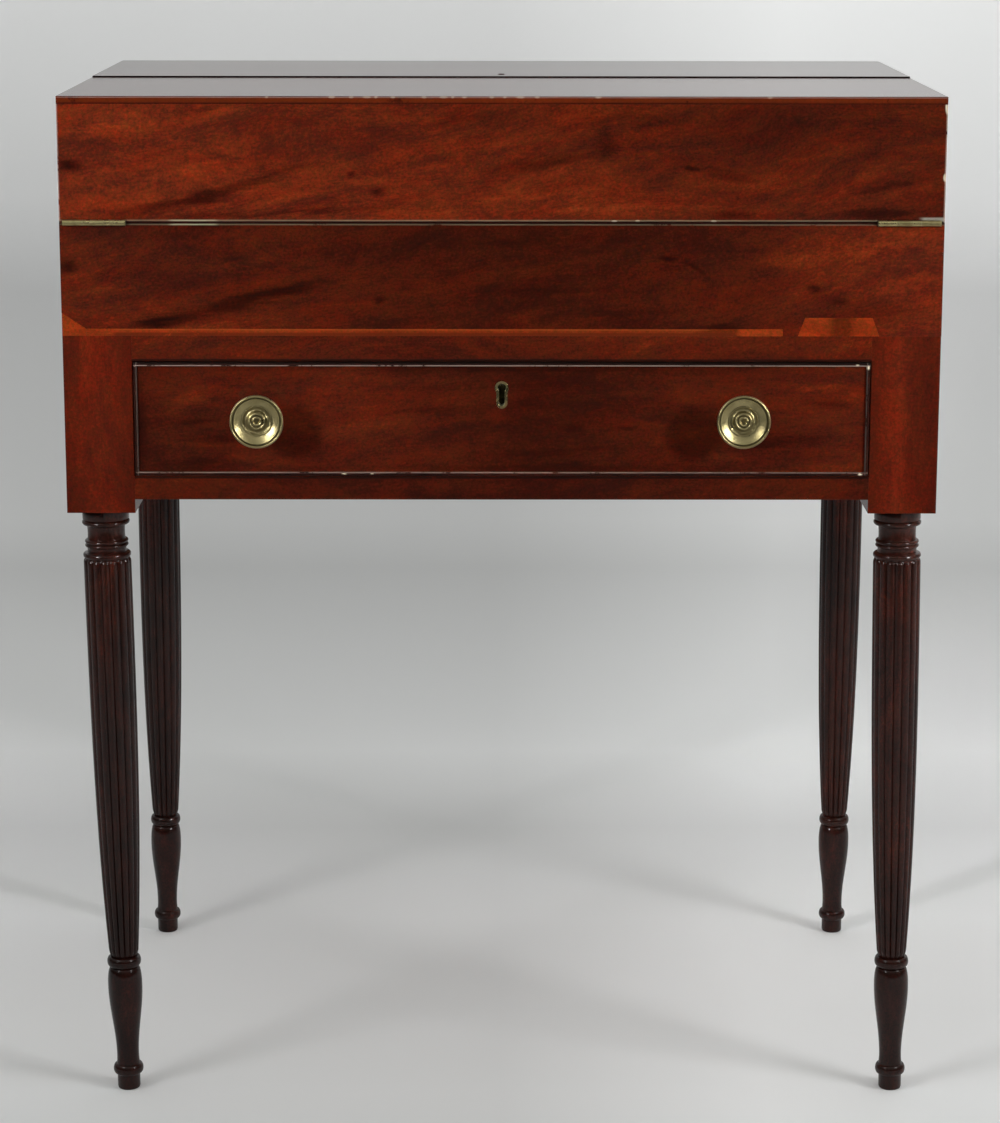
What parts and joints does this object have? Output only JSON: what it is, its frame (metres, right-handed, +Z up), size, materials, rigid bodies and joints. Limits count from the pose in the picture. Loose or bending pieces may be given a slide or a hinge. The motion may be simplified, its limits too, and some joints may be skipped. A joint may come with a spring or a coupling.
{
  "type": "campaign desk",
  "caption": "Folding writing box on a stand with turned, reeded legs and a long drawer; the lid folds forward into a writing slope.",
  "frame": {"origin": "on the floor, under the middle of the whole desk with its knobs and hinge barrels", "axes": "+Z up, +X to the right seen from the front, -Y towards the front"},
  "size_m": [0.686, 0.4908, 0.818],
  "materials": {
    "mahogany": "polished mahogany, red brown with darker figure",
    "dark_mahogany": "dark polished mahogany",
    "pale_mahogany": "paler polished repair wood",
    "drawer_wood": "unpolished secondary wood",
    "brass": "aged polished brass",
    "steel": "dull iron and steel",
    "baize": "green wool baize"
  },
  "bodies": {
    "case": {"post_front_left": "mahogany", "post_front_right": "mahogany", "post_rear_left": "mahogany", "post_rear_right": "mahogany", "leg_front_left": "dark_mahogany", "leg_front_right": "dark_mahogany", "leg_rear_left": "dark_mahogany", "leg_rear_right": "dark_mahogany", "apron_left": "mahogany", "apron_right": "mahogany", "apron_back": "mahogany", "rail_upper": "mahogany", "rail_lower": "mahogany", "drawer_runners": "drawer_wood", "drawer_kickers": "drawer_wood", "drawer_stops": "drawer_wood", "box_front": "mahogany", "box_side_left": "mahogany", "box_side_right": "mahogany", "box_back": "mahogany", "box_bottom": "drawer_wood", "front_patches": "pale_mahogany", "till_partition": "mahogany", "till_dividers": "mahogany", "base_panel": "mahogany", "base_baize": "baize", "box_screws": "steel", "base_hinge_leaves": "brass", "back_hinge_leaves": "brass", "hinge_pins": "steel", "case_hinge_screws": "brass"},
    "drawer": {"drawer_front": "mahogany", "drawer_side_left": "drawer_wood", "drawer_side_right": "drawer_wood", "drawer_back": "drawer_wood", "drawer_bottom": "drawer_wood", "cockbeads": "dark_mahogany", "knob_left": "brass", "knob_right": "brass", "knob_nuts": "brass", "drawer_escutcheon": "brass", "drawer_lock_case": "brass", "drawer_lock_screws": "steel"},
    "drawer_bolt": {"drawer_lock_bolt": "brass"},
    "lid": {"lid_top": "mahogany", "lid_front": "mahogany", "lid_side_left": "mahogany", "lid_side_right": "mahogany", "lid_rear_rail": "mahogany", "lid_rear_strips": "mahogany", "lid_panel": "mahogany", "lid_baize": "baize", "lid_hinge_leaves": "brass", "lid_screws": "brass", "lock_strike": "brass"},
    "rear_flap": {"rear_flap": "mahogany", "flap_hinge_leaves": "brass", "flap_screws": "brass", "top_lock_case": "brass"},
    "top_bolt": {"top_lock_bolt": "brass"}
  },
  "joints": [
    {"name": "lid_fold", "type": "hinge", "parent": "case", "child": "lid", "pos_m": [0, -0.21534, 0.71966], "axis": [1, 0, 0], "range_deg": [0, 180]},
    {"name": "flap_lift", "type": "hinge", "parent": "case", "child": "rear_flap", "pos_m": [0, 0.2431, 0.80485], "axis": [-1, 0, 0], "range_deg": [0, 100]},
    {"name": "drawer_slide", "type": "slide", "parent": "case", "child": "drawer", "axis": [0, -1, 0], "range_m": [0, 0.32]},
    {"name": "drawer_bolt_throw", "type": "slide", "parent": "drawer", "child": "drawer_bolt", "axis": [0, 0, 1], "range_m": [0, 0.006]},
    {"name": "top_bolt_throw", "type": "slide", "parent": "rear_flap", "child": "top_bolt", "axis": [0, -1, 0], "range_m": [0, 0.006]}
  ]
}
